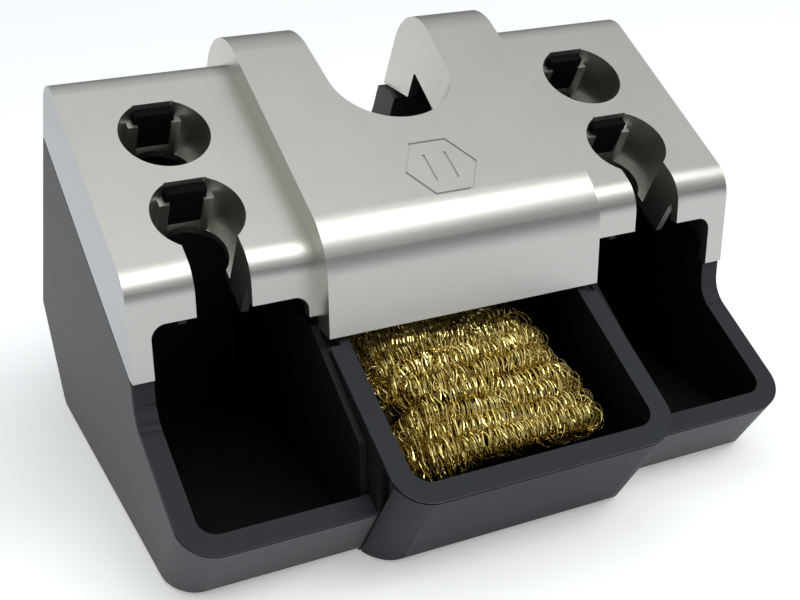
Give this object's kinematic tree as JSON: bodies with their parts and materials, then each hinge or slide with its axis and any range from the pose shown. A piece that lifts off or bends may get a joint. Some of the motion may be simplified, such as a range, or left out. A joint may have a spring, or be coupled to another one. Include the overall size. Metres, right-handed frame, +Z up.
{
  "type": "soldering iron station",
  "caption": "Bench stand for a soldering iron with a raised rest saddle, tip pockets with rubber wipers, catch trays and a pull-out brass wool tray.",
  "frame": {"origin": "centre of the footprint, on the surface that the feet stand on", "axes": "+X to the user's right, +Y to the rear, +Z up"},
  "size_m": [0.16, 0.1448, 0.1054],
  "materials": {
    "nickel": "bead-blasted satin nickel plate with a fine grain",
    "housing": "anthracite powder coat with a fine grain",
    "tray": "anthracite rim land, near-black inside",
    "wool_tray": "anthracite moulded tray, dark inside",
    "wiper_rubber": "matte black silicone rubber",
    "foot_rubber": "matte black rubber",
    "brass_wool": "bright curled flat brass swarf",
    "steel": "zinc-plated steel",
    "runner": "black acetal strip",
    "magnet": "nickel-plated magnet"
  },
  "bodies": {
    "housing": {"base_housing": "housing", "base_plate": "steel", "base_screws": "steel", "foot_front_left": "foot_rubber", "foot_front_right": "foot_rubber", "foot_rear_left": "foot_rubber", "foot_rear_right": "foot_rubber", "left_catch_tray": "tray", "right_catch_tray": "tray", "left_wing_cover": "nickel", "right_wing_cover": "nickel", "saddle_cover": "nickel", "cover_screws": "steel", "left_tray_runner": "runner", "right_tray_runner": "runner", "tray_keeper": "steel"},
    "wool_drawer": {"wool_tray": "wool_tray", "brass_wool": "brass_wool", "tray_magnet": "magnet"},
    "left_front_pad": {"left_front_wiper": "wiper_rubber"},
    "left_rear_pad": {"left_rear_wiper": "wiper_rubber"},
    "right_front_pad": {"right_front_wiper": "wiper_rubber"},
    "right_rear_pad": {"right_rear_wiper": "wiper_rubber"}
  },
  "joints": [
    {"name": "wool_tray_pull", "type": "slide", "parent": "housing", "child": "wool_drawer", "axis": [0, -1, 0], "range_m": [0, 0.045]},
    {"name": "left_front_lift", "type": "slide", "parent": "housing", "child": "left_front_pad", "axis": [0, -0.4955, 0.8686], "range_m": [0, 0.014]},
    {"name": "left_rear_lift", "type": "slide", "parent": "housing", "child": "left_rear_pad", "axis": [0, -0.4955, 0.8686], "range_m": [0, 0.014]},
    {"name": "right_front_lift", "type": "slide", "parent": "housing", "child": "right_front_pad", "axis": [0, -0.4955, 0.8686], "range_m": [0, 0.014]},
    {"name": "right_rear_lift", "type": "slide", "parent": "housing", "child": "right_rear_pad", "axis": [0, -0.4955, 0.8686], "range_m": [0, 0.014]}
  ]
}
